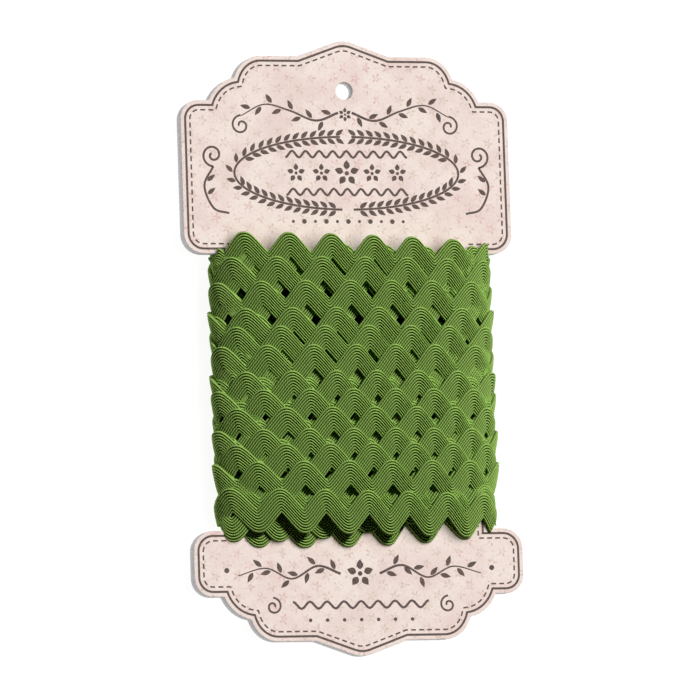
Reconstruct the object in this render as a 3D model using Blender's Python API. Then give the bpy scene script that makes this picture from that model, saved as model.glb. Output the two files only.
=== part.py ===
# Ric rac wound on a shaped card. The card lies on its back: X to its right, Y to the end
# with the hang hole, Z out of its printed face. The lengths here are in millimetres.
import math

import bmesh
import bpy
import numpy as np

MM = 0.001

# Card board
BOARD_THICK = 3.3
BOARD_BACK_Z = 6.1
BORDER_MARGIN = 1.1

# The card's printed border, one end and then the other. The card's edge runs outside it.
TIP_Y = 68.67
TIP_RADIUS = 5.4
TIP_SLOPE = math.radians(20.0)
SHOULDER_X = (10.63, 19.6)
SHOULDER_Y = 65.17
LOBES = (
    dict(start=(19.6, 65.17), rx=5.57, ry=6.64, first=90.0, last=15.0),
    dict(start=(24.98, 60.25), rx=7.2, ry=7.71, first=85.0, last=18.0),
)
HEAD_SIDE_X = 37.64
HEAD_CORNER_Y = 54.95
OUTER_CORNER = 3.2
INNER_CORNER = 3.5
WAIST_X = 29.37
TOP_NOTCH_Y = 22.38
BOTTOM_NOTCH_Y = -42.39
ARC_STEPS = 5

# Hang hole
HOLE_DIAMETER = 4.0
HOLE_Y = 58.4
HOLE_STEPS = 24

# Wound form: a flattened loop round the waist of the card
LOOP_HALF_WIDTH = 33.4
LOOP_HALF_DEPTH = 8.1
LOOP_POWER = 2.2
LOOP_COLUMNS = 112
SLOT_GAP = 0.3
TURN_WAVES = 14

# Ric rac trim
TRIM_BAND = 5.4
TRIM_SWING = 2.05
TRIM_ROUNDING = 0.09
STEP_HIGH = 0.35
STEP_LOW = -0.15
GAP_FLOOR = -1.2
LEAST_STEP = 0.35

# Each row of trim: the height of its crests on the card, its fall to the right per mm,
# and where its first crest lies, as a part of one wave
ROWS = (
    dict(crest=24.9, fall=0.035, phase=0.35),
    dict(crest=19.6, fall=0.01, phase=0.12),
    dict(crest=14.4, fall=0.0, phase=0.75),
    dict(crest=8.4, fall=0.0, phase=0.42),
    dict(crest=4.2, fall=0.0, phase=0.14),
    dict(crest=-0.2, fall=0.0, phase=0.80),
    dict(crest=-5.9, fall=0.0, phase=0.33),
    dict(crest=-9.9, fall=0.0, phase=0.72),
    dict(crest=-14.2, fall=0.0, phase=0.16),
    dict(crest=-18.8, fall=0.0, phase=0.66),
    dict(crest=-22.6, fall=0.0, phase=0.11),
    dict(crest=-26.5, fall=0.0, phase=0.57),
    dict(crest=-32.8, fall=0.0, phase=0.01),
)
UNDER_ROW_DROP = 2.9

# The rows draw together at the card's side edges, to lie inside its notches.
SIDE_TOP_Y = 20.7
SIDE_BOTTOM_Y = -40.7
MIDDLE_Y = -10.0
DRAW_FROM_X = 26.5
DRAW_TO_X = 32.2


def clear_scene():
    for obj in list(bpy.data.objects):
        bpy.data.objects.remove(obj, do_unlink=True)


def material(name, colour, roughness):
    made = bpy.data.materials.new(name)
    made.use_nodes = True
    shader = made.node_tree.nodes["Principled BSDF"]
    shader.inputs["Base Color"].default_value = (*colour, 1.0)
    shader.inputs["Roughness"].default_value = roughness
    shader.inputs["Metallic"].default_value = 0.0
    return made


def add_object(name, mesh, shader):
    mesh.materials.append(shader)
    obj = bpy.data.objects.new(name, mesh)
    bpy.context.scene.collection.objects.link(obj)
    return obj


def mesh_of(name, points, faces):
    mesh = bpy.data.meshes.new(name)
    mesh.from_pydata([tuple(float(c) * MM for c in p) for p in points], [], faces)
    sides = bmesh.new()
    sides.from_mesh(mesh)
    bmesh.ops.recalc_face_normals(sides, faces=sides.faces)
    sides.to_mesh(mesh)
    sides.free()
    return mesh


# Card outline
def arc(centre, rx, ry, first, last, steps=ARC_STEPS):
    angles = [math.radians(first + (last - first) * i / steps) for i in range(steps + 1)]
    return [(centre[0] + rx * math.cos(a), centre[1] + ry * math.sin(a)) for a in angles]


def lobe(start, rx, ry, first, last):
    begin = math.radians(first)
    centre = (start[0] - rx * math.cos(begin), start[1] - ry * math.sin(begin))
    return arc(centre, rx, ry, first, last)


def head_border():
    """Right half of one end's border, from the tip to the start of its long side."""
    flank = 90.0 - math.degrees(TIP_SLOPE)
    points = arc((0.0, TIP_Y - TIP_RADIUS), TIP_RADIUS, TIP_RADIUS, 90.0, flank)
    points += [(x, SHOULDER_Y) for x in SHOULDER_X]
    for row in LOBES:
        points += lobe(**row)[1:]
    x = HEAD_SIDE_X - OUTER_CORNER
    y = HEAD_CORNER_Y - OUTER_CORNER
    points += arc((x, y), OUTER_CORNER, OUTER_CORNER, 90.0, 0.0)
    return points


def border():
    """The whole printed border, clockwise from the tip of the hole's end."""
    top = head_border()
    x = HEAD_SIDE_X - INNER_CORNER
    top += arc((x, TOP_NOTCH_Y + INNER_CORNER), INNER_CORNER, INNER_CORNER, 0.0, -90.0)
    top.append((WAIST_X, TOP_NOTCH_Y))
    bottom = [(WAIST_X, BOTTOM_NOTCH_Y)]
    bottom += arc((x, BOTTOM_NOTCH_Y - INNER_CORNER), INNER_CORNER, INNER_CORNER, 90.0, 0.0)
    bottom += [(px, -py) for px, py in reversed(head_border())]
    right = top + bottom
    return right + [(-px, py) for px, py in reversed(right[1:-1])]


def offset(points, distance):
    """A closed clockwise line moved outwards, with mitred corners."""
    p = np.array(points)
    ahead = np.roll(p, -1, axis=0) - p
    ahead /= np.linalg.norm(ahead, axis=1)[:, None]
    out = np.stack([-ahead[:, 1], ahead[:, 0]], axis=1)
    before = np.roll(out, 1, axis=0)
    mitre = out + before
    mitre /= (mitre * out).sum(axis=1)[:, None]
    return p + mitre * distance


def make_card(shader):
    edge = offset(border(), BORDER_MARGIN)
    count = len(edge)
    levels = (BOARD_BACK_Z, BOARD_BACK_Z + BOARD_THICK)
    points = [(x, y, z) for z in levels for x, y in edge]
    faces = [tuple(range(count)), tuple(range(2 * count - 1, count - 1, -1))]
    for i in range(count):
        j = (i + 1) % count
        faces.append((i, j, count + j, count + i))
    card = add_object("card", mesh_of("card", points, faces), shader)
    bpy.ops.mesh.primitive_cylinder_add(
        vertices=HOLE_STEPS,
        radius=HOLE_DIAMETER / 2 * MM,
        depth=3 * BOARD_THICK * MM,
        location=(0.0, HOLE_Y * MM, (BOARD_BACK_Z + BOARD_THICK / 2) * MM),
    )
    cutter = bpy.context.object
    cutter.name = "hang_hole_cutter"
    cutter.hide_render = True
    cut = card.modifiers.new("hang_hole", "BOOLEAN")
    cut.operation = "DIFFERENCE"
    cut.solver = "EXACT"
    cut.object = cutter
    return card


# Wound form
def loop_columns():
    """Places along the loop at equal steps of its length, with their outward directions."""
    t = np.linspace(0.0, 2 * np.pi, 8001)
    sin, cos = np.sin(t), np.cos(t)
    x = LOOP_HALF_WIDTH * np.sign(sin) * np.abs(sin) ** (2 / LOOP_POWER)
    z = LOOP_HALF_DEPTH * cos
    length = np.concatenate([[0.0], np.cumsum(np.hypot(np.diff(x), np.diff(z)))])
    at = np.arange(LOOP_COLUMNS) / LOOP_COLUMNS * length[-1]
    px, pz = np.interp(at, length, x), np.interp(at, length, z)
    tx, tz = np.roll(px, -1) - np.roll(px, 1), np.roll(pz, -1) - np.roll(pz, 1)
    size = np.hypot(tx, tz)
    return px, pz, -tz / size, tx / size


def wave(phase, side):
    """Height of a trim's edge about its middle. The outer side of each bend is the rounder one."""
    place = np.arange(LOOP_COLUMNS) / LOOP_COLUMNS * TURN_WAVES - phase
    turn = place.copy()
    for _ in range(30):
        turn = place - side * TRIM_ROUNDING * np.sin(2 * np.pi * turn)
    return TRIM_SWING * np.cos(2 * np.pi * turn)


def draw_together(y, x):
    """Brings the rows inside the notches where they pass the card's side edges."""
    share = np.clip((np.abs(x) - DRAW_FROM_X) / (DRAW_TO_X - DRAW_FROM_X), 0.0, 1.0)
    share = share * share * (3 - 2 * share)
    top, bottom = ROWS[0]["crest"], lowest_y()
    above = (SIDE_TOP_Y - MIDDLE_Y) / (top + 1.3 - MIDDLE_Y)
    below = (SIDE_BOTTOM_Y - MIDDLE_Y) / (bottom - MIDDLE_Y)
    squeeze = np.where(y > MIDDLE_Y, above, below)
    return MIDDLE_Y + (y - MIDDLE_Y) * (1 + (squeeze - 1) * share)


def lowest_y():
    return ROWS[-1]["crest"] - 2 * TRIM_SWING - TRIM_BAND - UNDER_ROW_DROP


def row_edges(row, x):
    middle = row["crest"] - row["fall"] * x - TRIM_SWING
    return middle + wave(row["phase"], 1.0), middle - TRIM_BAND + wave(row["phase"], -1.0)


def surface_lines(x):
    """Lines of equal kind down the wound surface: each one's Y and its height over the loop."""
    tops, bottoms = zip(*(row_edges(row, x) for row in ROWS))
    tops, bottoms = list(tops), list(bottoms)
    under = bottoms[-1] - UNDER_ROW_DROP
    for i in range(len(ROWS) - 2, -1, -1):
        tops[i] = np.maximum(tops[i], tops[i + 1] + 3 * LEAST_STEP)
    lines = []
    for i in range(len(ROWS)):
        lines.append((tops[i], np.full_like(x, STEP_HIGH)))
        if i == len(ROWS) - 1:
            lines.append((bottoms[i], np.full_like(x, STEP_LOW)))
            lines.append((bottoms[i] - LEAST_STEP, np.full_like(x, GAP_FLOOR)))
            lines.append((under, np.full_like(x, GAP_FLOOR)))
            break
        low = np.maximum(bottoms[i], tops[i + 1] + 2 * LEAST_STEP)
        gap = np.clip((low - tops[i + 1] - 2 * LEAST_STEP) / 1.5, 0.0, 1.0)
        lines.append((low, np.full_like(x, STEP_LOW)))
        lines.append((tops[i + 1] + LEAST_STEP, STEP_LOW + (GAP_FLOOR - STEP_LOW) * gap))
    return lines


def slot_loop(px, pz):
    """The loop's inner side: the card's waist with a gap all round."""
    half_x = WAIST_X + BORDER_MARGIN + SLOT_GAP
    half_z = BOARD_THICK / 2 + SLOT_GAP
    end_z = np.abs(pz[np.argmin(np.abs(px - half_x) + (pz < 0) * 99.0)])
    on_side = np.abs(px) > half_x
    x = np.where(on_side, np.sign(px) * half_x, px)
    z = np.where(on_side, np.clip(pz / end_z, -1.0, 1.0) * half_z, np.sign(pz) * half_z)
    for sx in (-1, 1):
        for sz in (-1, 1):
            corner = np.argmin(np.hypot(x - sx * half_x, z - sz * half_z))
            x[corner], z[corner] = sx * half_x, sz * half_z
    return x, z


def make_winding(shader):
    px, pz, nx, nz = loop_columns()
    centre_z = BOARD_BACK_Z + BOARD_THICK / 2
    rings = []
    for y, height in surface_lines(px):
        ring = np.stack([px + nx * height, draw_together(y, px), pz + nz * height + centre_z], 1)
        ring[:, 2] = np.maximum(ring[:, 2], 0.0)
        rings.append(ring)
    sx, sz = slot_loop(px, pz)
    at_side = np.abs(sx) > WAIST_X + BORDER_MARGIN
    top_y = np.minimum(rings[0][:, 1], ROWS[0]["crest"] - TRIM_SWING)
    top_y = np.where(at_side, np.minimum(top_y, SIDE_TOP_Y), top_y)
    bottom_y = np.maximum(rings[-1][:, 1], lowest_y() + TRIM_SWING)
    bottom_y = np.where(at_side, np.maximum(bottom_y, SIDE_BOTTOM_Y), bottom_y)
    for y in (bottom_y, top_y):
        rings.append(np.stack([sx, y, sz + centre_z], 1))
    points = np.concatenate(rings)
    faces = []
    for a in range(len(rings)):
        b = (a + 1) % len(rings)
        for i in range(LOOP_COLUMNS):
            j = (i + 1) % LOOP_COLUMNS
            one, two = a * LOOP_COLUMNS, b * LOOP_COLUMNS
            faces.append((one + i, one + j, two + j, two + i))
    mesh = mesh_of("ric_rac_winding", points, faces)
    mesh.polygons.foreach_set("use_smooth", [True] * len(mesh.polygons))
    return add_object("ric_rac_winding", mesh, shader)


clear_scene()
make_card(material("card_paper", (0.86, 0.74, 0.68), 0.8))
make_winding(material("ric_rac_green", (0.15, 0.32, 0.055), 0.9))
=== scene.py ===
import math

import bmesh
import bpy
import numpy as np
from mathutils import Matrix, Vector


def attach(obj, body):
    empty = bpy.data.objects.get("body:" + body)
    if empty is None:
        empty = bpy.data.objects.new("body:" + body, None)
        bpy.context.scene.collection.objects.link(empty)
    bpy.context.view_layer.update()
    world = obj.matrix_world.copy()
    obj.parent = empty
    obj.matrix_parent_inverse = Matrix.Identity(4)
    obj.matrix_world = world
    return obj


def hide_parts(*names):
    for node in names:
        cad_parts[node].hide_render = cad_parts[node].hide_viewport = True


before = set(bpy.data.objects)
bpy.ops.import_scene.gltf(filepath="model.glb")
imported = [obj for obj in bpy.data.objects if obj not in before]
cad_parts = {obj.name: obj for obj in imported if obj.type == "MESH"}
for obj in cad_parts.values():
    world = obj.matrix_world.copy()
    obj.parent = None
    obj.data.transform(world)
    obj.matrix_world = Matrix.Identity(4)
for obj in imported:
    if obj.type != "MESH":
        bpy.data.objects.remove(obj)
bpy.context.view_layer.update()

# Ric rac wound on a shaped card. Lengths are in millimetres until they reach a mesh.
MM = 0.001

# Card, as in the solids
BOARD_THICK = 3.3
BOARD_BACK_Z = 6.1
BOARD_FACE_Z = BOARD_BACK_Z + BOARD_THICK
CENTRE_Z = BOARD_BACK_Z + BOARD_THICK / 2
BORDER_MARGIN = 1.1
TIP_Y = 68.67
TIP_RADIUS = 5.4
TIP_SLOPE = math.radians(20.0)
SHOULDER_X = (10.63, 19.6)
SHOULDER_Y = 65.17
LOBES = (
    dict(start=(19.6, 65.17), rx=5.57, ry=6.64, first=90.0, last=15.0),
    dict(start=(24.98, 60.25), rx=7.2, ry=7.71, first=85.0, last=18.0),
)
HEAD_SIDE_X = 37.64
HEAD_CORNER_Y = 54.95
OUTER_CORNER = 3.2
INNER_CORNER = 3.5
WAIST_X = 29.37
TOP_NOTCH_Y = 22.38
BOTTOM_NOTCH_Y = -42.39
ARC_STEPS = 10
HOLE_DIAMETER = 4.0
HOLE_Y = 58.4

# Wound form, from the outermost turns in to the card
LOOP_OUTER = dict(half_width=32.7, half_depth=8.1, power=2.2)
LOOP_INNER = dict(half_width=31.0, half_depth=2.2, power=6.0)
LOOP_X = 0.45
LAYERS = 6
UNDER_LAYER = 1.6
CORE_LAYER = 2.6
CORE_TOP_Y = 18.4
CORE_BOTTOM_Y = -38.0
CORE_COLUMNS = 120

# Ric rac trim
TRIM_BAND = 5.5
TRIM_SWING = 2.25
TRIM_PITCH = 10.0
TRIM_SHARPNESS = 0.79
TRIM_FAN = 0.3
TRIM_LEAN = 0.085
UPPER_CURL = 0.2
LOWER_CURL = 0.22
TRIM_RIBS = 9
STEPS_PER_RIB = 3
RIB_HIGH = 0.46
RIB_FULLNESS = 0.8
EDGE_RIBS = 1.2
EDGE_DROP = 0.16
EDGE_GROOVE = 0.12
TRIM_THICK = 0.3
BACK_PLACES = (0.97, 0.5, 0.0)
SHINGLE = 0.19
UNDER_SHINGLE = 0.06
FLARE_FADE = 3.0
FRONT_SHARE = 0.27
FLOOR_CLEAR = 0.7
OUTER_STEPS = 336
UNDER_STEPS = 224
CLOSER_STEPS = 0.45
NORMAL_REACH = 0.05

# Each outer turn: the height of its crests at the card's middle, its fall to the right
# per mm, and where its crests lie along the loop, measured from the middle of the front.
# Some rows also name their layer, how much wider, further across or squarer their loop is,
# the bend of their fall, and the depth at which they are pressed into the notches.
OUTER_TURNS = (
    dict(crest=24.9, fall=0.035, at=(-26.5, -16.5, -6.9, 3.0, 12.3, 22.6)),
    dict(crest=19.9, fall=0.01, at=(-19.5, -9.2, 0.8, 10.8, 20.7)),
    dict(crest=14.6, fall=0.0, at=(-32.7, -23.1, -13.2, -2.8, 6.9, 16.7, 26.9)),
    dict(crest=8.5, fall=0.0, at=(-26.8, -16.3, -6.3, 3.6, 13.6, 24.1)),
    dict(crest=4.4, fall=0.0, at=(-28.9, -19.1, -9.1, 1.2, 11.2, 20.6)),
    dict(crest=0.1, fall=0.0, at=(-32.3, -22.2, -11.8, -1.9, 7.3, 16.9, 27.4)),
    dict(crest=-5.8, fall=0.0, at=(-27.1, -16.8, -6.7, 2.6, 12.6, 22.4)),
    dict(crest=-9.9, fall=0.0, at=(-23.4, -12.9, -2.9, 7.0, 16.2, 26.5)),
    dict(crest=-14.0, fall=0.0, at=(-29.4, -18.4, -7.9, 1.9, 11.9, 21.4, 30.1)),
    dict(crest=-18.8, fall=0.0, at=(-23.7, -13.4, -3.2, 6.7, 15.9, 25.6)),
    dict(crest=-22.2, fall=0.0, at=(-29.8, -18.7, -8.7, 1.1, 11.1, 20.5, 29.7)),
    dict(crest=-26.1, fall=0.0, at=(-25.2, -14.9, -4.4, 5.5, 15.2, 24.8)),
    dict(layer=0.8, wide=0.4, shift=-0.4, crest=-32.8, fall=0.03,
         at=(-30.9, -19.9, -9.7, 0.4, 9.9, 19.2, 28.7)),
)
# The turns just under them, which show between the rows and past both ends
UNDER_TURNS = (
    dict(crest=23.0, fall=0.03, at=(-24.2, -14.2, -3.6, 6.5, 16.1, 25.6)),
    dict(crest=18.2, fall=0.02, at=(-27.7, -17.7, -8.1, 1.8, 11.1, 21.4)),
    dict(crest=13.0, fall=0.0, at=(-20.7, -10.4, -0.4, 9.6, 19.5)),
    dict(crest=7.3, fall=0.0, at=(-33.9, -24.3, -14.4, -4.0, 5.7, 15.5, 25.7)),
    dict(crest=1.7, fall=0.0, at=(-28.0, -17.5, -7.5, 2.4, 12.4, 22.9)),
    dict(crest=-2.7, fall=0.0, at=(-30.1, -20.3, -10.3, 0.0, 10.0, 19.4)),
    dict(crest=-7.0, fall=0.0, at=(-33.5, -23.4, -13.0, -3.1, 6.1, 15.7, 26.2)),
    dict(crest=-12.5, fall=0.0, at=(-28.3, -18.0, -7.9, 1.4, 11.4, 21.2)),
    dict(crest=-16.8, fall=0.0, at=(-24.6, -14.1, -4.1, 5.8, 15.0, 25.3)),
    dict(crest=-21.0, fall=0.0, at=(-30.6, -19.6, -9.1, 0.7, 10.7, 20.2, 28.9)),
    dict(crest=-25.7, fall=0.0, at=(-24.9, -14.6, -4.4, 5.5, 14.7, 24.4)),
    dict(crest=-30.2, fall=0.02, at=(-30.5, -19.5, -9.3, 0.6, 10.2, 19.5, 29.0)),
)
# Deeper turns, which close the deepest gaps: their layer, crest height, fall and crests
DEEP_TURNS = (
    dict(layer=2.4, crest=22.9, fall=0.0, at=(-27.5, -16.9, -7.3, 2.6, 11.9, 21.6, 28.4)),
    dict(layer=3.2, crest=20.0, fall=0.0, at=(-16.0,)),
    dict(layer=2.4, crest=-29.4, fall=0.0, at=(-22.0,)),
    dict(layer=4.2, shift=-1.0, wide=0.3, square=5.0, tuck=2.15, crest=-32.6, fall=-0.137, bend=-0.0031,
         at=(-35.6, -24.6, -14.1, -3.8, 7.0, 17.4, 27.4)),
    dict(layer=4.9, shift=-0.4, crest=-35.3, fall=-0.025, bend=-0.0012,
         at=(-29.9, -19.2, -8.5, 1.2, 10.2, 19.4, 29.3)),
)

# At the card's side edges the trim is pressed inside the notches.
SIDE_TOP_Y = 20.7
SIDE_BOTTOM_Y = -40.7
TUCK_REACH = 3.4
TUCK_FIRST_DEPTH = 2.6
TUCK_LAST_DEPTH = 1.75

# Paper and print
SPRIG_PITCH = (5.2, 4.9)
SPRIG_RADIUS = 1.3
PAPER_TOOTH = 2500.0
INK_GAP = 0.03
INK_FILM = 0.05
BORDER_LINE = 0.5
DASH_INSET = 1.1
DASH_LONG = 1.15
DASH_APART = 0.75
DASH_LINE = 0.36
STEM_LINE = 0.5
VINE_LINE = 0.6
CURL_LINE = 0.46
WAVE_LINE = 0.55
BAND_Y = 39.6
RING_REACH = (26.5, 8.3)
RING_BARE_X = 25.0

# Camera, set to the photograph's angle and scale
PICTURE_SIDE = 700
PIXELS_PER_MM = 4.43
SENSOR = 36.0
CAMERA_AWAY = 1.6
CAMERA_RIGHT = (0.9560, -0.0330, 0.2920)
CAMERA_UP = (0.0, 0.994, 0.105)
CAMERA_TARGET = (-0.645, -0.62, BOARD_FACE_Z)


def deselect():
    bpy.ops.object.select_all(action="DESELECT")


def only(obj):
    deselect()
    obj.select_set(True)
    bpy.context.view_layer.objects.active = obj


def set_points(obj, points):
    obj.data.vertices.foreach_set("co", (np.asarray(points, float) * MM).ravel())
    obj.data.update()


def place(obj, name, shader, replaced):
    obj.name = name
    obj.data.name = name
    if shader is not None:
        obj.data.materials.clear()
        obj.data.materials.append(shader)
    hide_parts(replaced)
    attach(obj, "root")
    return obj


# Shader helpers
class Nodes:
    """Short calls for building one node tree."""

    def __init__(self, tree):
        self.tree = tree

    def add(self, kind, **values):
        node = self.tree.nodes.new(kind)
        for key, value in values.items():
            setattr(node, key, value)
        return node

    def join(self, source, target):
        self.tree.links.new(source, target)

    def feed(self, socket, value):
        if isinstance(value, bpy.types.NodeSocket):
            self.join(value, socket)
        else:
            socket.default_value = value

    def math(self, operation, a, b=0.0, c=0.0):
        node = self.add("ShaderNodeMath", operation=operation)
        for socket, value in zip(node.inputs, (a, b, c)):
            self.feed(socket, value)
        return node.outputs[0]

    def ramp(self, value, low, high, to_low=0.0, to_high=1.0):
        node = self.add("ShaderNodeMapRange", interpolation_type="SMOOTHSTEP")
        for name, given in zip(
            ("Value", "From Min", "From Max", "To Min", "To Max"), (value, low, high, to_low, to_high)
        ):
            self.feed(node.inputs[name], given)
        return node.outputs["Result"]

    def mix(self, factor, a, b):
        node = self.add("ShaderNodeMix", data_type="RGBA")
        self.feed(node.inputs["Factor"], factor)
        self.feed(node.inputs["A"], a)
        self.feed(node.inputs["B"], b)
        return node.outputs["Result"]

    def group(self, tree, **values):
        node = self.add("ShaderNodeGroup", node_tree=tree)
        for name, value in values.items():
            self.feed(node.inputs[name], value)
        return node.outputs[0]

    def bump(self, height, strength, distance):
        node = self.add("ShaderNodeBump")
        node.inputs["Strength"].default_value = strength
        node.inputs["Distance"].default_value = distance
        self.join(height, node.inputs["Height"])
        return node.outputs["Normal"]


def new_group(name, inputs, output, kind="NodeSocketFloat"):
    """An empty shader node group, its nodes helper, and its input and output nodes."""
    tree = bpy.data.node_groups.new(name, "ShaderNodeTree")
    tree.interface.new_socket("Vector", in_out="INPUT", socket_type="NodeSocketVector")
    for key in inputs:
        tree.interface.new_socket(key, in_out="INPUT", socket_type="NodeSocketFloat")
    tree.interface.new_socket(output, in_out="OUTPUT", socket_type=kind)
    n = Nodes(tree)
    return tree, n, n.add("NodeGroupInput"), n.add("NodeGroupOutput")


def mottle_group():
    """Soft uneven patches, as a mask that is 0 below one level of the noise and 1 above another."""
    tree, n, given, out = new_group("mottle", ("Scale", "Detail", "Roughness", "Low", "High"), "Mask")
    noise = n.add("ShaderNodeTexNoise")
    for key in ("Vector", "Scale", "Detail", "Roughness"):
        n.join(given.outputs[key], noise.inputs[key])
    mask = n.ramp(noise.outputs["Fac"], given.outputs["Low"], given.outputs["High"])
    n.join(mask, out.inputs["Mask"])
    return tree


def paper_grain_group():
    """The fine tooth of paper, as a normal."""
    tree, n, given, out = new_group("paper_grain", ("Scale",), "Normal", "NodeSocketVector")
    noise = n.add("ShaderNodeTexNoise")
    noise.inputs["Detail"].default_value = 3.0
    for key in ("Vector", "Scale"):
        n.join(given.outputs[key], noise.inputs[key])
    n.join(n.bump(noise.outputs["Fac"], 0.08, 0.00005), out.inputs["Normal"])
    return tree


MOTTLE = mottle_group()
PAPER_GRAIN = paper_grain_group()


def mottle(n, vector, scale, detail, roughness, low, high):
    return n.group(
        MOTTLE, Vector=vector, Scale=scale, Detail=detail, Roughness=roughness, Low=low, High=high
    )


def rgb(red, green, blue):
    """A colour as it looks on screen, from 0 to 255, made linear."""
    def linear(c):
        c /= 255.0
        return c / 12.92 if c <= 0.04045 else ((c + 0.055) / 1.055) ** 2.4

    return (linear(red), linear(green), linear(blue), 1.0)


def new_material(name, roughness):
    made = bpy.data.materials.new(name)
    made.use_nodes = True
    shader = made.node_tree.nodes["Principled BSDF"]
    shader.inputs["Roughness"].default_value = roughness
    return made, Nodes(made.node_tree), shader


def braid_material(name, ridge, groove):
    """Ribbed cotton braid, with painted shade: its grooves are painted a near black shade, fully towards
    the lower edge where the trim falls to the right, about half as much near the upper edge there, and a
    little less than fully where it climbs; its top rib is painted darker.
    The UV map runs in mm along the trim and in ribs down across it, and the flank attribute is above 0
    where the trim climbs to the right and below 0 where it falls."""
    made, n, shader = new_material(name, 0.9)
    shader.inputs["Specular IOR Level"].default_value = 0.25
    uv = n.add("ShaderNodeUVMap", uv_map="UVMap").outputs["UV"]
    split = n.add("ShaderNodeSeparateXYZ")
    n.join(uv, split.inputs["Vector"])
    along, across = split.outputs["X"], split.outputs["Y"]
    flank = n.add("ShaderNodeAttribute", attribute_name="flank").outputs["Fac"]
    rib = n.math("ABSOLUTE", n.math("SINE", n.math("MULTIPLY", across, math.pi)))
    weave = n.math("ADD", n.math("MULTIPLY", along, 14.0), n.math("MULTIPLY", across, math.pi))
    plait = n.math("SINE", weave)
    # Painted shade in the grooves: each groove's share of the near black groove shade is set by the flank
    # it lies on and, where the trim falls, by how far down the band it lies.
    falls = n.ramp(flank, 0.4, -0.3)
    lower_edge_shade = n.ramp(across, 0.8, 4.2, 0.5, 1.0)
    climbing_shade = n.math("MULTIPLY", n.math("SUBTRACT", 1.0, falls), 0.78)
    groove_shade_amount = n.math("ADD", n.math("MULTIPLY", falls, lower_edge_shade), climbing_shade)
    shut = n.math("SUBTRACT", 1.0, n.ramp(rib, 0.4, 1.0))
    wear = mottle(n, uv, 0.9, 3.0, 0.5, 0.35, 0.7)
    # A darker green, for random wear and for painted shade on the top rib.
    wear_and_shade_colour = tuple(0.72 * c for c in ridge[:3]) + (1.0,)
    colour = n.mix(n.math("MULTIPLY", wear, 0.3), ridge, wear_and_shade_colour)
    # Painted shade: the top rib is painted darker, against the light it catches from above.
    colour = n.mix(n.ramp(across, 0.3, 1.6, 0.4, 0.0), colour, wear_and_shade_colour)
    # The plait's crossings also take the near black groove shade, strongly where the trim climbs and
    # faintly where it falls: a weave pattern, with painted shade weighted by flank.
    hatch = n.math("MULTIPLY", n.ramp(plait, -1.0, 1.0), n.ramp(falls, 0.0, 1.0, 0.3, 0.06))
    colour = n.mix(hatch, colour, groove)
    colour = n.mix(n.math("MULTIPLY", shut, groove_shade_amount), colour, groove)
    n.join(colour, shader.inputs["Base Color"])
    height = n.math("ADD", n.math("MULTIPLY", rib, 0.6), n.math("MULTIPLY", plait, 0.25))
    n.join(n.bump(height, 0.6, 0.00012), shader.inputs["Normal"])
    return made


# Wound trim
def smooth(t):
    t = np.clip(t, 0.0, 1.0)
    return t * t * (3 - 2 * t)


def loop_shape(depth, wide=0.0, shift=0.0, square=0.0):
    """Points of one loop round the card. Depth runs from 0 outside to 1 against the card."""
    def mix(key):
        return LOOP_OUTER[key] + (LOOP_INNER[key] - LOOP_OUTER[key]) * depth

    t = np.linspace(-np.pi, np.pi, 8001)
    sin, cos = np.sin(t), np.cos(t)
    x = (mix("half_width") + wide) * np.sign(sin) * np.abs(sin) ** (2 / (mix("power") + square))
    z = mix("half_depth") * cos
    length = np.concatenate([[0.0], np.cumsum(np.hypot(np.diff(x), np.diff(z)))])
    length -= length[-1] / 2
    return length, x + LOOP_X + shift, z


def tuck_in(y, z, first_depth):
    """Presses the ends of the winding into the notches where it is level with the card."""
    share = smooth((first_depth - np.abs(z)) / (first_depth - TUCK_LAST_DEPTH))
    high, low = SIDE_TOP_Y - TUCK_REACH, SIDE_BOTTOM_Y + TUCK_REACH
    tucked = np.where(y > high, high + TUCK_REACH * np.tanh((y - high) / TUCK_REACH), y)
    tucked = np.where(y < low, low + TUCK_REACH * np.tanh((y - low) / TUCK_REACH), tucked)
    return y + share * (tucked - y)


def wave_shape(angle):
    """A wave with nearly straight flanks, from -1 to 1, and the trim's slope there."""
    sharp = TRIM_SHARPNESS
    height = np.arcsin(sharp * np.cos(angle)) / math.asin(sharp)
    turn = -sharp * np.sin(angle) / np.sqrt(1 - (sharp * np.cos(angle)) ** 2) / math.asin(sharp)
    return height, TRIM_SWING * turn * 2 * np.pi / TRIM_PITCH


def wave_count(turn, along):
    """Waves passed at each place along the loop: whole numbers at the turn's crests."""
    at = np.array(turn["at"], float)
    more = TRIM_PITCH * np.arange(1, 20)
    places = np.concatenate([at[0] - more[::-1], at, at[-1] + more])
    return np.interp(along, places, np.arange(len(places)) - len(more))


def trim_section():
    """(across, height, rib, groove) of the trim's section: half its back, its ribbed top, the rest."""
    section = [(v, -TRIM_THICK, 0.5, False) for v in reversed(BACK_PLACES)]
    last = TRIM_RIBS * STEPS_PER_RIB
    for i in range(last + 1):
        v = 1 - 2 * i / last
        lift = abs(math.sin(math.pi * i / STEPS_PER_RIB)) ** RIB_FULLNESS
        edge = min(1.0, (1 - abs(v)) * TRIM_RIBS / EDGE_RIBS)
        rib = min(max(i / STEPS_PER_RIB, EDGE_GROOVE), TRIM_RIBS - EDGE_GROOVE)
        section.append((v, RIB_HIGH * lift - EDGE_DROP * (1 - edge), rib, i % STEPS_PER_RIB == 0))
    section += [(-v, -TRIM_THICK, 0.5, False) for v in BACK_PLACES]
    v, raised, rib, groove = (np.array(column) for column in zip(*section))
    upper = UPPER_CURL * np.clip((v - 0.2) / 0.8, 0, 1) ** 2
    lower = LOWER_CURL * np.clip((-v - 0.3) / 0.7, 0, 1) ** 2
    return v, raised - (upper + lower), rib, groove


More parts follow.
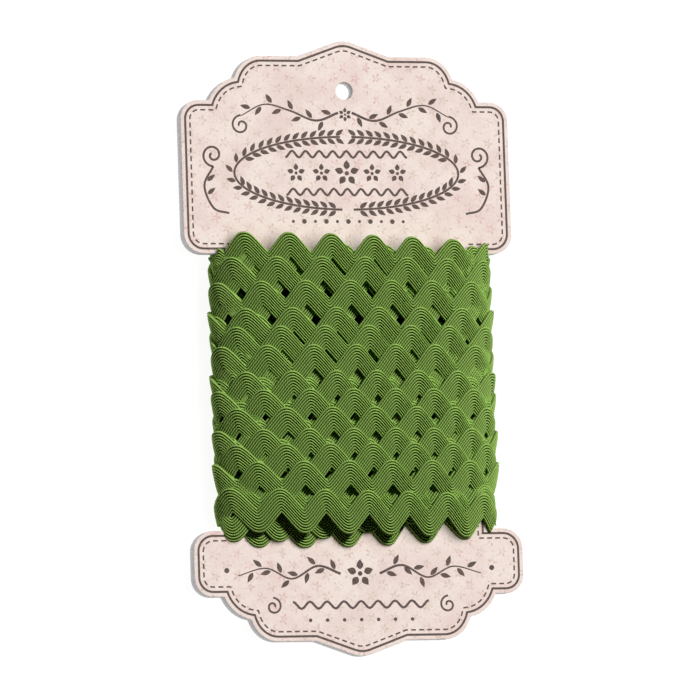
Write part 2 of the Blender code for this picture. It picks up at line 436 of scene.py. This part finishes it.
def trim_surface(turn, before, after, layer, steps, across, raised):
    """Points of one turn of trim, with each one's place along the trim and the trim's slope there."""
    length, loop_x, loop_z = loop_shape(
        layer / LAYERS, turn.get("wide", 0.0), turn.get("shift", 0.0), turn.get("square", 0.0)
    )
    span = length[-1] - length[0]
    even = np.linspace(-span / 2, span / 2, steps + 1)
    front = span * FRONT_SHARE
    to_next = smooth((even - front) / (span - 2 * front))
    from_last = smooth((even + span - front) / (span - 2 * front))

    def between(key):
        here, last, next_one = (row.get(key, 0.0) for row in (turn, before, after))
        return np.where(even > 0, here + (next_one - here) * to_next, last + (here - last) * from_last)

    def slip(a, b):
        """Waves that the back must gain or lose for two turns' waves to join."""
        rest = wave_count(a, span / 2) - wave_count(b, -span / 2)
        return round(rest) - rest

    def on_loop(at, values):
        return np.interp(at, length, values, period=span)

    # Steps close up at the crests and troughs, where the trim turns.
    gained = np.where(even > 0, slip(turn, after) * to_next, -slip(before, turn) * (1 - from_last))
    waves = wave_count(turn, even) + gained
    along = even - CLOSER_STEPS * TRIM_PITCH / (4 * np.pi) * np.sin(4 * np.pi * waves)
    waves = wave_count(turn, along) + gained
    v, a = np.meshgrid(across, along, indexing="ij")
    swing, slope = wave_shape(2 * np.pi * np.broadcast_to(waves, v.shape))
    offset_y = TRIM_SWING * swing + v * TRIM_BAND / 2
    fan = -TRIM_FAN * v * TRIM_BAND / 2 * slope / np.hypot(1.0, slope)
    s = a + fan + TRIM_LEAN * (TRIM_SWING + TRIM_BAND / 2 - offset_y)

    px, pz = on_loop(s, loop_x), on_loop(s, loop_z)
    tx = on_loop(s + NORMAL_REACH, loop_x) - on_loop(s - NORMAL_REACH, loop_x)
    tz = on_loop(s + NORMAL_REACH, loop_z) - on_loop(s - NORMAL_REACH, loop_z)
    size = np.hypot(tx, tz)
    nx, nz = -tz / size, tx / size
    middle = between("crest") - TRIM_SWING - TRIM_BAND / 2
    free_y = middle - between("fall") * px - between("bend") * px**2 + offset_y
    y = tuck_in(free_y, pz, turn.get("tuck", TUCK_FIRST_DEPTH))
    flare = (SHINGLE if layer < 1 else UNDER_SHINGLE) * np.clip(1 - np.abs(free_y - y) / FLARE_FADE, 0, 1)
    height = flare * offset_y + raised[:, None]
    z = pz + nz * height + CENTRE_Z
    z = np.where(z < FLOOR_CLEAR, FLOOR_CLEAR * np.exp((z - FLOOR_CLEAR) / FLOOR_CLEAR), z)
    return np.stack([px + nx * height, y, z], -1), a + 0.3 * fan, slope


def mark_trim(obj, along, slope, rib_at, is_groove):
    """Gives the trim its flank attribute, its UV map and a sharp edge in each groove."""
    count = along.shape[1]
    flank = (slope / np.hypot(1.0, slope)).astype(np.float32)
    obj.data.attributes.new("flank", "FLOAT", "POINT").data.foreach_set("value", flank.ravel())
    uv_map = obj.data.uv_layers.active
    uv_map.name = "UVMap"
    corner = np.zeros(len(obj.data.loops), int)
    obj.data.loops.foreach_get("vertex_index", corner)
    row, column = corner // count, corner % count
    uv = np.stack([along[row, column], rib_at[row]], -1)
    uv_map.data.foreach_set("uv", uv.astype(np.float32).ravel())
    ends = np.zeros(len(obj.data.edges) * 2, int)
    obj.data.edges.foreach_get("vertices", ends)
    row_of = ends.reshape(-1, 2) // count
    in_groove = (row_of[:, 0] == row_of[:, 1]) & np.isin(row_of[:, 0], np.flatnonzero(is_groove))
    obj.data.edges.foreach_set("use_edge_sharp", in_groove)


def close_trim(obj):
    """Joins the section's first and last points, which lie together on the back, and closes both ends."""
    only(obj)
    bpy.ops.object.mode_set(mode="EDIT")
    bpy.ops.mesh.select_all(action="SELECT")
    bpy.ops.mesh.remove_doubles(threshold=2e-7)
    bpy.ops.mesh.select_all(action="SELECT")
    bpy.ops.mesh.fill_holes(sides=0)
    bpy.ops.mesh.select_all(action="SELECT")
    bpy.ops.mesh.normals_make_consistent(inside=False)
    bpy.ops.mesh.faces_shade_smooth()
    bpy.ops.object.mode_set(mode="OBJECT")


def trim_turn(name, turn, before, after, layer, steps, shader):
    """One turn of trim, cut and met by its neighbours at the middle of the back."""
    across, raised, rib_at, is_groove = trim_section()
    points, along, slope = trim_surface(turn, before, after, layer, steps, across, raised)
    bpy.ops.mesh.primitive_grid_add(x_subdivisions=steps, y_subdivisions=len(across) - 1, size=1.0)
    obj = bpy.context.object
    set_points(obj, points.reshape(-1, 3))
    mark_trim(obj, along, slope, rib_at, is_groove)
    close_trim(obj)
    return place(obj, name, shader, "ric_rac_winding")


def neighbours(turns, i):
    return turns[max(i - 1, 0)], turns[min(i + 1, len(turns) - 1)]


def wind_trim():
    # The second colour is the near black painted shade in the braid's grooves.
    green = braid_material("ric_rac_green", rgb(172, 214, 104), rgb(7, 27, 0))
    for i, turn in enumerate(OUTER_TURNS):
        name = f"ric_rac_outer_turn_{i + 1:02d}"
        before, after = neighbours(OUTER_TURNS, i)
        trim_turn(name, turn, before, after, turn.get("layer", 0.0), OUTER_STEPS, green)
    for i, turn in enumerate(UNDER_TURNS):
        name = f"ric_rac_under_turn_{i + 1:02d}"
        before, after = neighbours(UNDER_TURNS, i)
        trim_turn(name, turn, before, after, UNDER_LAYER, UNDER_STEPS, green)
    for i, turn in enumerate(DEEP_TURNS):
        name = f"ric_rac_deep_turn_{i + 1:02d}"
        trim_turn(name, turn, turn, turn, turn["layer"], UNDER_STEPS, green)


def core_material():
    """The shade inside the winding, on hidden turns."""
    made, n, shader = new_material("inner_turns_shade", 0.95)
    shader.inputs["Specular IOR Level"].default_value = 0.0
    spot = n.add("ShaderNodeTexCoord").outputs["Object"]
    shade = mottle(n, spot, 900.0, 2.0, 0.5, 0.2, 0.8)
    n.join(n.mix(shade, rgb(8, 18, 4), rgb(22, 42, 10)), shader.inputs["Base Color"])
    return made


def loop_columns(layer):
    """Points of a loop at even steps of its length."""
    length, x, z = loop_shape(layer / LAYERS)
    at = np.linspace(-0.5, 0.5, CORE_COLUMNS, endpoint=False) * 2 * length[-1]
    return np.interp(at, length, x), np.interp(at, length, z)


def make_core():
    """The inner turns as one sleeve, painted near black as painted shade, seen only through the slots
    between the rows.
    """
    outer, inner = loop_columns(CORE_LAYER), loop_columns(LAYERS)
    corners = (outer, CORE_TOP_Y), (outer, CORE_BOTTOM_Y), (inner, CORE_BOTTOM_Y), (inner, CORE_TOP_Y)
    bpy.ops.mesh.primitive_torus_add(major_segments=CORE_COLUMNS, minor_segments=len(corners))
    obj = bpy.context.object
    points = np.zeros((CORE_COLUMNS, len(corners), 3))
    for k, ((px, pz), y) in enumerate(corners):
        points[:, k] = np.stack([px, np.full(CORE_COLUMNS, y), pz + CENTRE_Z], -1)
    set_points(obj, points.reshape(-1, 3))
    only(obj)
    bpy.ops.object.mode_set(mode="EDIT")
    bpy.ops.mesh.select_all(action="SELECT")
    bpy.ops.mesh.normals_make_consistent(inside=False)
    bpy.ops.object.mode_set(mode="OBJECT")
    return place(obj, "ric_rac_inner_turns", core_material(), "ric_rac_winding")


# Card
def arc(centre, rx, ry, first, last, steps=ARC_STEPS):
    angles = [math.radians(first + (last - first) * i / steps) for i in range(steps + 1)]
    return [(centre[0] + rx * math.cos(a), centre[1] + ry * math.sin(a)) for a in angles]


def lobe(start, rx, ry, first, last):
    begin = math.radians(first)
    centre = (start[0] - rx * math.cos(begin), start[1] - ry * math.sin(begin))
    return arc(centre, rx, ry, first, last)


def head_border():
    flank = 90.0 - math.degrees(TIP_SLOPE)
    points = arc((0.0, TIP_Y - TIP_RADIUS), TIP_RADIUS, TIP_RADIUS, 90.0, flank)
    points += [(x, SHOULDER_Y) for x in SHOULDER_X]
    for row in LOBES:
        points += lobe(**row)[1:]
    x = HEAD_SIDE_X - OUTER_CORNER
    y = HEAD_CORNER_Y - OUTER_CORNER
    points += arc((x, y), OUTER_CORNER, OUTER_CORNER, 90.0, 0.0)
    return points


def border():
    top = head_border()
    x = HEAD_SIDE_X - INNER_CORNER
    top += arc((x, TOP_NOTCH_Y + INNER_CORNER), INNER_CORNER, INNER_CORNER, 0.0, -90.0)
    top.append((WAIST_X, TOP_NOTCH_Y))
    bottom = [(WAIST_X, BOTTOM_NOTCH_Y)]
    bottom += arc((x, BOTTOM_NOTCH_Y - INNER_CORNER), INNER_CORNER, INNER_CORNER, 90.0, 0.0)
    bottom += [(px, -py) for px, py in reversed(head_border())]
    right = top + bottom
    return right + [(-px, py) for px, py in reversed(right[1:-1])]


def offset(points, distance):
    p = np.array(points)
    ahead = np.roll(p, -1, axis=0) - p
    ahead /= np.linalg.norm(ahead, axis=1)[:, None]
    out = np.stack([-ahead[:, 1], ahead[:, 0]], axis=1)
    before = np.roll(out, 1, axis=0)
    mitre = out + before
    mitre /= (mitre * out).sum(axis=1)[:, None]
    return p + mitre * distance


def sprig_mask(n, x, y, shift):
    """A small five-petalled sprig at each point of a lattice, 1 on its petals."""
    radius = SPRIG_RADIUS

    def cell(value, pitch):
        turned = n.math("FRACT", n.math("ADD", n.math("DIVIDE", value, pitch), shift))
        return n.math("MULTIPLY", n.math("SUBTRACT", turned, 0.5), pitch)

    dx, dy = cell(x, SPRIG_PITCH[0]), cell(y, SPRIG_PITCH[1])
    away = n.math("SQRT", n.math("ADD", n.math("MULTIPLY", dx, dx), n.math("MULTIPLY", dy, dy)))
    turn = n.math("ARCTAN2", dy, dx)
    wavy = n.math("COSINE", n.math("MULTIPLY", turn, 5.0))
    petal = n.math("MULTIPLY_ADD", wavy, 0.38 * radius, 0.62 * radius)
    inside = n.ramp(n.math("SUBTRACT", petal, away), -0.12 * radius, 0.15 * radius)
    heart = n.ramp(away, 0.12 * radius, 0.24 * radius)
    return n.math("MULTIPLY", inside, heart)


def paper_material():
    """Pale pink paper with a faint sprig repeat, mottled as an old print is."""
    made, n, shader = new_material("printed_paper", 0.62)
    spot = n.add("ShaderNodeTexCoord").outputs["Object"]
    split = n.add("ShaderNodeSeparateXYZ")
    n.join(spot, split.inputs["Vector"])
    x = n.math("MULTIPLY", split.outputs["X"], 1000.0)
    y = n.math("MULTIPLY", split.outputs["Y"], 1000.0)
    sprigs = n.math("ADD", sprig_mask(n, x, y, 0.0), sprig_mask(n, x, y, 0.5))
    worn = mottle(n, spot, 900.0, 3.0, 0.8, 0.4, 0.62)
    tint = mottle(n, spot, 60.0, 1.0, 0.5, 0.4, 0.6)
    blotch = mottle(n, spot, 110.0, 4.0, 0.6, 0.35, 0.68)
    speck = mottle(n, spot, 1500.0, 2.0, 0.8, 0.48, 0.7)
    colour = n.mix(blotch, rgb(246, 230, 221), rgb(237, 214, 206))
    motif = n.mix(tint, rgb(216, 166, 156), rgb(206, 184, 162))
    colour = n.mix(n.math("MULTIPLY", n.math("MULTIPLY", sprigs, worn), 0.75), colour, motif)
    colour = n.mix(n.math("MULTIPLY", speck, 0.42), colour, rgb(212, 192, 184))
    n.join(colour, shader.inputs["Base Color"])
    n.join(n.group(PAPER_GRAIN, Vector=spot, Scale=PAPER_TOOTH), shader.inputs["Normal"])
    return made


def board_material():
    """Cut grey board, with its pulp in fine layers."""
    made, n, shader = new_material("grey_board", 0.9)
    spot = n.add("ShaderNodeTexCoord").outputs["Object"]
    stretch = n.add("ShaderNodeMapping")
    stretch.inputs["Scale"].default_value = (1.0, 1.0, 5.0)
    n.join(spot, stretch.inputs["Vector"])
    pulp = mottle(n, stretch.outputs["Vector"], 900.0, 4.0, 0.7, 0.3, 0.7)
    n.join(n.mix(pulp, rgb(206, 205, 206), rgb(236, 234, 234)), shader.inputs["Base Color"])
    n.join(n.bump(pulp, 0.3, 0.00005), shader.inputs["Normal"])
    return made


def back_material():
    made, n, shader = new_material("plain_back_paper", 0.7)
    spot = n.add("ShaderNodeTexCoord").outputs["Object"]
    fleck = mottle(n, spot, 1200.0, 3.0, 0.7, 0.3, 0.75)
    n.join(n.mix(fleck, rgb(238, 230, 224), rgb(226, 216, 208)), shader.inputs["Base Color"])
    n.join(n.group(PAPER_GRAIN, Vector=spot, Scale=PAPER_TOOTH), shader.inputs["Normal"])
    return made


def make_card():
    edge = offset(border(), BORDER_MARGIN)
    deselect()
    bpy.ops.mesh.primitive_circle_add(vertices=len(edge), fill_type="NGON")
    obj = bpy.context.object
    points = np.column_stack([edge, np.full(len(edge), BOARD_BACK_Z)])
    set_points(obj, points)
    bpy.ops.object.mode_set(mode="EDIT")
    bpy.ops.mesh.select_all(action="SELECT")
    bpy.ops.mesh.extrude_region_move(TRANSFORM_OT_translate={"value": (0, 0, BOARD_THICK * MM)})
    bpy.ops.mesh.select_all(action="SELECT")
    bpy.ops.mesh.normals_make_consistent(inside=False)
    bpy.ops.object.mode_set(mode="OBJECT")
    bpy.ops.mesh.primitive_cylinder_add(
        vertices=48,
        radius=HOLE_DIAMETER / 2 * MM,
        depth=3 * BOARD_THICK * MM,
        location=(0.0, HOLE_Y * MM, CENTRE_Z * MM),
    )
    cutter = bpy.context.object
    only(obj)
    hole = obj.modifiers.new("hang_hole", "BOOLEAN")
    hole.operation, hole.solver, hole.object = "DIFFERENCE", "EXACT", cutter
    bpy.ops.object.modifier_apply(modifier="hang_hole")
    bpy.data.objects.remove(cutter, do_unlink=True)
    soft = obj.modifiers.new("pressed_edge", "BEVEL")
    soft.width, soft.segments, soft.limit_method = 0.16 * MM, 2, "ANGLE"
    soft.angle_limit = math.radians(50)
    soft.use_clamp_overlap = True
    bpy.ops.object.modifier_apply(modifier="pressed_edge")
    for shader in (paper_material(), board_material(), back_material()):
        obj.data.materials.append(shader)
    for face in obj.data.polygons:
        up = face.normal.z
        face.material_index = 0 if up > 0.5 else 2 if up < -0.5 else 1
    bpy.ops.object.shade_smooth_by_angle(angle=math.radians(35))
    for face in obj.data.polygons:
        face.use_smooth = abs(face.normal.z) < 0.999
    return place(obj, "card_board", None, "card")


# Printed lines
class Print:
    """Collects flat printed shapes, each a closed outline or a strip, on the card's face."""

    def __init__(self):
        self.points, self.faces = [], []

    def strip(self, line, widths):
        line = np.asarray(line, float)
        widths = np.broadcast_to(widths, len(line))
        ahead = np.gradient(line, axis=0)
        ahead /= np.maximum(np.linalg.norm(ahead, axis=1), 1e-9)[:, None]
        side = np.stack([-ahead[:, 1], ahead[:, 0]], 1) * widths[:, None] / 2
        first = len(self.points)
        for left, right in zip(line + side, line - side):
            self.points += [tuple(left), tuple(right)]
        for i in range(len(line) - 1):
            a = first + 2 * i
            self.faces.append((a, a + 1, a + 3, a + 2))

    def loop(self, line, width):
        outer, inner = offset(line, width / 2), offset(line, -width / 2)
        first, count = len(self.points), len(line)
        self.points += [tuple(p) for p in outer] + [tuple(p) for p in inner]
        for i in range(count):
            j = (i + 1) % count
            self.faces.append((first + i, first + count + i, first + count + j, first + j))

    def patch(self, line):
        first = len(self.points)
        self.points += [tuple(p) for p in line]
        self.faces.append(tuple(range(first, first + len(line))))

    def dot(self, x, y, radius, steps=14):
        angles = [2 * math.pi * i / steps for i in range(steps)]
        self.patch([(x + radius * math.cos(a), y + radius * math.sin(a)) for a in angles])

    def leaf(self, x, y, angle, length, width, base=0.0, steps=8):
        c, s = math.cos(angle), math.sin(angle)
        x, y = x + base * c, y + base * s
        shares = [i / steps for i in range(steps + 1)]
        sides = [(length * share, width / 2 * math.sin(math.pi * share**0.8)) for share in shares]
        outline = sides + [(a, -b) for a, b in reversed(sides[1:-1])]
        self.patch([(x + a * c - b * s, y + a * s + b * c) for a, b in outline])

    def blossom(self, x, y, radius, petals=5):
        for i in range(petals):
            angle = math.pi / 2 + 2 * math.pi * i / petals
            self.leaf(x, y, angle, 0.7 * radius, 0.5 * radius, base=0.3 * radius)
        self.dot(x, y, 0.17 * radius)


def through(points, steps=12):
    """A smooth line through the points given."""
    p = np.asarray(points, float)
    p = np.concatenate([[2 * p[0] - p[1]], p, [2 * p[-1] - p[-2]]])
    out = []
    for i in range(1, len(p) - 2):
        for k in range(steps):
            t = k / steps
            a, b, c, d = p[i - 1 : i + 3]
            square, cube = 2 * a - 5 * b + 4 * c - d, 3 * b - a - 3 * c + d
            out.append(0.5 * (2 * b + (c - a) * t + square * t**2 + cube * t**3))
    out.append(p[-2])
    return np.array(out)


def spiral(x, y, radius, turns, first, hand, steps=40):
    t = np.linspace(0.0, 1.0, steps)
    angle = first + hand * 2 * math.pi * turns * t
    r = radius * (1 - 0.82 * t)
    return np.stack([x + r * np.cos(angle), y + r * np.sin(angle)], 1)


def along_line(line, step):
    """Places at equal steps along a line, with the line's direction there."""
    line = np.asarray(line)
    run = np.concatenate([[0.0], np.cumsum(np.linalg.norm(np.diff(line, axis=0), axis=1))])
    for at in np.arange(step / 2, run[-1], step):
        x, y = np.interp(at, run, line[:, 0]), np.interp(at, run, line[:, 1])
        k = min(np.searchsorted(run, at), len(line) - 1)
        ahead = line[k] - line[k - 1]
        yield x, y, math.atan2(ahead[1], ahead[0])


def dashes(ink, line, dash, gap, width):
    line = np.vstack([line, line[:1]])
    run = np.concatenate([[0.0], np.cumsum(np.linalg.norm(np.diff(line, axis=0), axis=1))])
    count = round(run[-1] / (dash + gap))
    step = run[-1] / count
    for i in range(count):
        ends = i * step, i * step + dash * step / (dash + gap)
        at = np.linspace(*ends, 4)
        inside = run[(run > ends[0]) & (run < ends[1])]
        at = np.unique(np.concatenate([at, inside]))
        x, y = np.interp(at, run, line[:, 0]), np.interp(at, run, line[:, 1])
        ink.strip(np.stack([x, y], 1), width)


def vine(ink, line, width, leaf_step, leaf_size):
    """A stem that thins towards its end, with leaves on either side in turn."""
    taper = width * (1.0 - 0.6 * np.linspace(0, 1, len(line)))
    ink.strip(line, taper)
    for i, (x, y, way) in enumerate(list(along_line(line, leaf_step))[:-1]):
        turn = 0.75 if i % 2 else -0.75
        ink.leaf(x, y, way + turn, leaf_size, 0.42 * leaf_size, width)


def wave_line(ink, y, half, swing, pitch, width):
    x = np.linspace(-half, half, int(16 * half / pitch) + 1)
    ink.strip(np.stack([x, y + swing * np.cos(2 * np.pi * x / pitch)], 1), width)


def ink_material():
    """Brown ink, a little unevenly pressed."""
    made, n, shader = new_material("brown_ink", 0.6)
    spot = n.add("ShaderNodeTexCoord").outputs["Object"]
    press = mottle(n, spot, 1600.0, 3.0, 0.7, 0.35, 0.75)
    n.join(n.mix(press, rgb(66, 44, 36), rgb(104, 80, 70)), shader.inputs["Base Color"])
    return made


def on_side(side, points):
    return [(side * x, y) for x, y in points]


def draw_hole_end(ink):
    """A leafy wreath round a band of blossoms, under two vines."""
    for side in (1, -1):
        upper = on_side(side, [(1.6, 53.4), (7, 51.6), (13, 53.8), (19, 55.2), (24.5, 52.6)])
        vine(ink, through(upper), VINE_LINE, 2.5, 2.5)
        ink.strip(spiral(side * 24.6, 50.4, 2.3, 1.3, math.pi / 2, -side), CURL_LINE)
        angles = np.linspace(0.05, math.pi - 0.05, 60)
        reach_x, reach_y = RING_REACH
        ring = [(side * reach_x * math.sin(a), BAND_Y - reach_y * math.cos(a)) for a in angles]
        ink.strip(ring, STEM_LINE)
        for x, y, way in along_line(ring, 2.05):
            ink.leaf(x, y, way - 0.62 * side, 2.3, 1.0, 0.6)
            if abs(x) < RING_BARE_X:
                ink.leaf(x, y, way + 0.62 * side, 2.3, 1.0, 0.6)
        ink.strip(spiral(side * 31.4, 43.6, 2.6, 1.4, -math.pi / 2, side), STEM_LINE)
        stem = on_side(side, [(31.4, 41.0), (33.6, 36.6), (31.6, 31.6), (28.0, 30.4)])
        ink.strip(through(stem), STEM_LINE)
        for y in (37.4, 34.4):
            ink.leaf(side * 33.3, y, math.pi / 2 + side * 0.9, 2.4, 1.0, STEM_LINE)
    for x in (-12, -6, 0, 6, 12):
        ink.blossom(x, BAND_Y, 2.2 if x else 3.0)
    wave_line(ink, 43.9, 14.4, 0.75, 3.2, WAVE_LINE)
    wave_line(ink, 35.3, 14.4, 0.75, 3.2, WAVE_LINE)
    ink.blossom(0, 53.0, 1.6, 6)
    for x in range(-5, 6):
        ink.dot(2.6 * x, 28.6, 0.36 if x % 2 else 0.55)


def draw_other_end(ink):
    """One blossom between two vines, over a wavy line."""
    ink.blossom(0, -51.2, 3.2)
    for side in (1, -1):
        lower = on_side(side, [(4.6, -51.2), (10, -49.4), (16, -52.2), (22, -49.8), (28.6, -51.4)])
        vine(ink, through(lower), VINE_LINE, 2.3, 2.6)
        ink.dot(side * 31.2, -50.2, 0.6)
        ink.strip(spiral(side * 20.6, -58.4, 2.0, 1.3, math.pi / 2, side), CURL_LINE)
    wave_line(ink, -58.2, 16.0, 0.8, 4.0, WAVE_LINE)
    for x in range(-3, 4):
        ink.dot(4.0 * x, -61.6, 0.42)


def print_card():
    ink = Print()
    ink.loop(border(), BORDER_LINE)
    dashes(ink, offset(border(), -DASH_INSET), DASH_LONG, DASH_APART, DASH_LINE)
    draw_hole_end(ink)
    draw_other_end(ink)

    bpy.ops.mesh.primitive_plane_add()
    obj = bpy.context.object
    flat = bmesh.new()
    level = BOARD_FACE_Z + INK_GAP
    corners = [flat.verts.new((x * MM, y * MM, level * MM)) for x, y in ink.points]
    for face in ink.faces:
        flat.faces.new([corners[k] for k in face])
    bmesh.ops.recalc_face_normals(flat, faces=flat.faces)
    for face in flat.faces:
        face.normal_update()
        if face.normal.z < 0:
            face.normal_flip()
    flat.to_mesh(obj.data)
    flat.free()
    only(obj)
    film = obj.modifiers.new("ink_film", "SOLIDIFY")
    film.thickness, film.offset = INK_FILM * MM, -1.0
    bpy.ops.object.modifier_apply(modifier="ink_film")
    return place(obj, "card_printed_lines", ink_material(), "card")


# Floor, light and camera
def make_floor():
    deselect()
    bpy.ops.mesh.primitive_plane_add(size=6.0)
    obj = bpy.context.object
    obj.name = "pale_floor"
    made, n, shader = new_material("pale_floor", 0.9)
    shader.inputs["Base Color"].default_value = (0.15, 0.15, 0.15, 1.0)
    shader.inputs["Emission Color"].default_value = (1.0, 1.0, 1.0, 1.0)
    shader.inputs["Emission Strength"].default_value = 0.92
    obj.data.materials.append(made)


def area_light(name, place_at, size, power, lit):
    data = bpy.data.lights.new(name, "AREA")
    data.energy, data.size = power, size
    obj = bpy.data.objects.new(name, data)
    obj.location = place_at
    obj.rotation_euler = (-Vector(place_at)).to_track_quat("-Z", "Y").to_euler()
    bpy.context.scene.collection.objects.link(obj)
    group = bpy.data.collections.new(name + "_lit")
    for one in lit:
        group.objects.link(one)
    obj.light_linking.receiver_collection = group


def light_scene():
    """A key that brings out the ribs of the trim, and a broad high one for the rest."""
    world = bpy.data.worlds.new("studio")
    bpy.context.scene.world = world
    world.use_nodes = True
    back = world.node_tree.nodes["Background"]
    back.inputs["Color"].default_value = (1.0, 1.0, 1.0, 1.0)
    back.inputs["Strength"].default_value = 0.025
    meshes = [obj for obj in bpy.data.objects if obj.type == "MESH"]
    trim = [obj for obj in meshes if obj.name.startswith("ric_rac")]
    others = [obj for obj in meshes if obj not in trim]
    area_light("trim_key", (1.05, 1.4, 1.85), 0.45, 71.0, trim)
    area_light("broad_key", (0.5, 0.35, 2.35), 2.0, 68.0, others)
    bpy.context.scene.view_settings.view_transform = "Standard"


def make_camera():
    data = bpy.data.cameras.new("camera")
    data.sensor_width = SENSOR
    data.lens = SENSOR * CAMERA_AWAY / (PICTURE_SIDE / PIXELS_PER_MM * MM)
    data.clip_end = 20.0
    obj = bpy.data.objects.new("camera", data)
    bpy.context.scene.collection.objects.link(obj)
    right = Vector(CAMERA_RIGHT).normalized()
    up = Vector(CAMERA_UP)
    up = (up - right * up.dot(right)).normalized()
    back = right.cross(up)
    turn = Matrix((right, up, back)).transposed().to_4x4()
    obj.matrix_world = Matrix.Translation(Vector(CAMERA_TARGET) * MM + back * CAMERA_AWAY) @ turn
    bpy.context.scene.camera = obj


make_camera()
make_card()
print_card()
make_core()
wind_trim()
make_floor()
light_scene()
